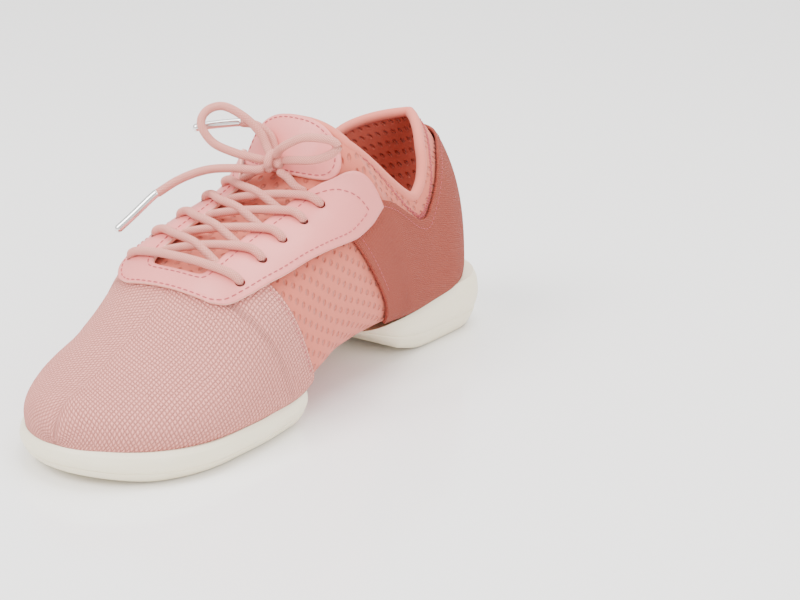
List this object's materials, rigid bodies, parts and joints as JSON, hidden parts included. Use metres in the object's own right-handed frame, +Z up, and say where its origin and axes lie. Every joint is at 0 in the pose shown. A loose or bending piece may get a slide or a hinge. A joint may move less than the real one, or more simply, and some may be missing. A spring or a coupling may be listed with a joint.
{
  "type": "dance sneaker",
  "caption": "Low split-sole dance sneaker for the right foot: stretch bootie, canvas vamp and heel, leather facing, tied round laces",
  "frame": {"origin": "on the floor under the middle of the shoe's length and width, laces left out", "axes": "+Z up, -Y towards the toe, +X towards the inner side of the foot"},
  "size_m": [0.0938, 0.262, 0.1184],
  "materials": {
    "stretch_lining": "soft stretch fabric with small dimples",
    "vamp_canvas": "coarse plain-woven canvas",
    "quarter_canvas": "fine woven canvas",
    "facing_leather": "smooth satin leather",
    "sole_rubber": "smooth matte cream rubber",
    "footbed": "plain knit",
    "lace_cord": "braided cord",
    "aglet_metal": "polished"
  },
  "bodies": {
    "root": {"upper": "stretch_lining", "heel_quarter": "quarter_canvas", "vamp": "vamp_canvas", "facing": "facing_leather", "tongue_patch": "facing_leather", "insole": "footbed", "heel_sole": "sole_rubber", "forefoot_sole": "sole_rubber", "lace_bar": "lace_cord", "lace_crossing_1": "lace_cord", "lace_crossing_2": "lace_cord", "lace_crossing_3": "lace_cord", "lace_crossing_4": "lace_cord", "lace_knot": "lace_cord", "lace_loop_medial": "lace_cord", "lace_loop_lateral": "lace_cord", "lace_end_front": "lace_cord", "lace_end_rear": "lace_cord", "aglet_front": "aglet_metal", "aglet_rear": "aglet_metal"}
  },
  "joints": []
}
